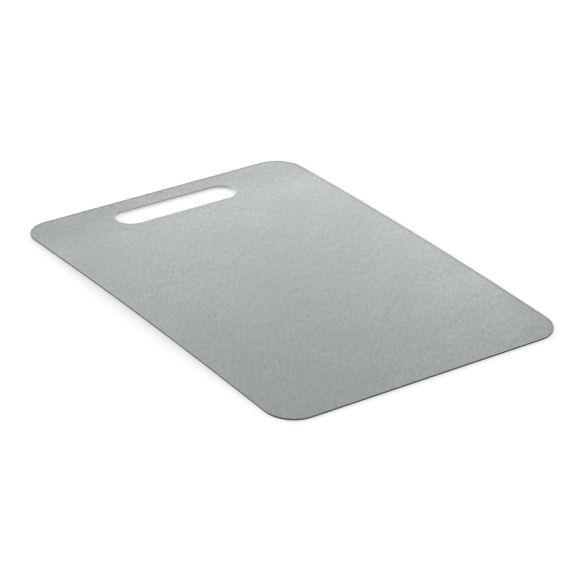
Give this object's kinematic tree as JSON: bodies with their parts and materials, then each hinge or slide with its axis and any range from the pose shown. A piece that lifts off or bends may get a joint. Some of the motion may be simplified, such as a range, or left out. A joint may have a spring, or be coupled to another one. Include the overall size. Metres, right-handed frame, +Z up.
{
  "type": "flexible cutting mat",
  "caption": "Thin flexible grey cutting mat with rounded corners and a long hand slot at one end; its long sides curl up into a chute.",
  "frame": {"origin": "centre of the underside, on the surface that the mat lies on", "axes": "+X along the mat away from the hand slot, +Y across the mat to its right long side, +Z up out of the cutting face"},
  "size_m": [0.35, 0.24, 0.0013],
  "materials": {
    "cutting_ply": "fine embossed grain, satin",
    "base_ply": "matte anti-slip"
  },
  "bodies": {
    "centre_strip": {"cutting_ply_centre": "cutting_ply", "base_ply_centre": "base_ply"},
    "left_strip_1": {"cutting_ply_left_1": "cutting_ply", "base_ply_left_1": "base_ply"},
    "left_strip_2": {"cutting_ply_left_2": "cutting_ply", "base_ply_left_2": "base_ply"},
    "left_strip_3": {"cutting_ply_left_3": "cutting_ply", "base_ply_left_3": "base_ply"},
    "left_strip_4": {"cutting_ply_left_4": "cutting_ply", "base_ply_left_4": "base_ply"},
    "left_strip_5": {"cutting_ply_left_5": "cutting_ply", "base_ply_left_5": "base_ply"},
    "left_strip_6": {"cutting_ply_left_6": "cutting_ply", "base_ply_left_6": "base_ply"},
    "right_strip_1": {"cutting_ply_right_1": "cutting_ply", "base_ply_right_1": "base_ply"},
    "right_strip_2": {"cutting_ply_right_2": "cutting_ply", "base_ply_right_2": "base_ply"},
    "right_strip_3": {"cutting_ply_right_3": "cutting_ply", "base_ply_right_3": "base_ply"},
    "right_strip_4": {"cutting_ply_right_4": "cutting_ply", "base_ply_right_4": "base_ply"},
    "right_strip_5": {"cutting_ply_right_5": "cutting_ply", "base_ply_right_5": "base_ply"},
    "right_strip_6": {"cutting_ply_right_6": "cutting_ply", "base_ply_right_6": "base_ply"}
  },
  "joints": [
    {"name": "left_curl_1", "type": "hinge", "parent": "centre_strip", "child": "left_strip_1", "pos_m": [0, -0.00925, 0.0013], "axis": [-1, 0, 0], "range_deg": [0, 15], "stiffness_Nm_per_rad": 0.57},
    {"name": "left_curl_2", "type": "hinge", "parent": "left_strip_1", "child": "left_strip_2", "pos_m": [0, -0.02775, 0.0013], "axis": [-1, 0, 0], "range_deg": [0, 15], "stiffness_Nm_per_rad": 0.57},
    {"name": "left_curl_3", "type": "hinge", "parent": "left_strip_2", "child": "left_strip_3", "pos_m": [0, -0.04625, 0.0013], "axis": [-1, 0, 0], "range_deg": [0, 15], "stiffness_Nm_per_rad": 0.57},
    {"name": "left_curl_4", "type": "hinge", "parent": "left_strip_3", "child": "left_strip_4", "pos_m": [0, -0.06475, 0.0013], "axis": [-1, 0, 0], "range_deg": [0, 15], "stiffness_Nm_per_rad": 0.57},
    {"name": "left_curl_5", "type": "hinge", "parent": "left_strip_4", "child": "left_strip_5", "pos_m": [0, -0.08325, 0.0013], "axis": [-1, 0, 0], "range_deg": [0, 15], "stiffness_Nm_per_rad": 0.57},
    {"name": "left_curl_6", "type": "hinge", "parent": "left_strip_5", "child": "left_strip_6", "pos_m": [0, -0.10175, 0.0013], "axis": [-1, 0, 0], "range_deg": [0, 15], "stiffness_Nm_per_rad": 0.57},
    {"name": "right_curl_1", "type": "hinge", "parent": "centre_strip", "child": "right_strip_1", "pos_m": [0, 0.00925, 0.0013], "axis": [1, 0, 0], "range_deg": [0, 15], "stiffness_Nm_per_rad": 0.57},
    {"name": "right_curl_2", "type": "hinge", "parent": "right_strip_1", "child": "right_strip_2", "pos_m": [0, 0.02775, 0.0013], "axis": [1, 0, 0], "range_deg": [0, 15], "stiffness_Nm_per_rad": 0.57},
    {"name": "right_curl_3", "type": "hinge", "parent": "right_strip_2", "child": "right_strip_3", "pos_m": [0, 0.04625, 0.0013], "axis": [1, 0, 0], "range_deg": [0, 15], "stiffness_Nm_per_rad": 0.57},
    {"name": "right_curl_4", "type": "hinge", "parent": "right_strip_3", "child": "right_strip_4", "pos_m": [0, 0.06475, 0.0013], "axis": [1, 0, 0], "range_deg": [0, 15], "stiffness_Nm_per_rad": 0.57},
    {"name": "right_curl_5", "type": "hinge", "parent": "right_strip_4", "child": "right_strip_5", "pos_m": [0, 0.08325, 0.0013], "axis": [1, 0, 0], "range_deg": [0, 15], "stiffness_Nm_per_rad": 0.57},
    {"name": "right_curl_6", "type": "hinge", "parent": "right_strip_5", "child": "right_strip_6", "pos_m": [0, 0.10175, 0.0013], "axis": [1, 0, 0], "range_deg": [0, 15], "stiffness_Nm_per_rad": 0.57}
  ],
  "couplings": [
    {"joint": "left_curl_2", "follows": "left_curl_1", "ratio": 1},
    {"joint": "left_curl_3", "follows": "left_curl_1", "ratio": 1},
    {"joint": "left_curl_4", "follows": "left_curl_1", "ratio": 1},
    {"joint": "left_curl_5", "follows": "left_curl_1", "ratio": 1},
    {"joint": "left_curl_6", "follows": "left_curl_1", "ratio": 1},
    {"joint": "right_curl_2", "follows": "right_curl_1", "ratio": 1},
    {"joint": "right_curl_3", "follows": "right_curl_1", "ratio": 1},
    {"joint": "right_curl_4", "follows": "right_curl_1", "ratio": 1},
    {"joint": "right_curl_5", "follows": "right_curl_1", "ratio": 1},
    {"joint": "right_curl_6", "follows": "right_curl_1", "ratio": 1}
  ]
}
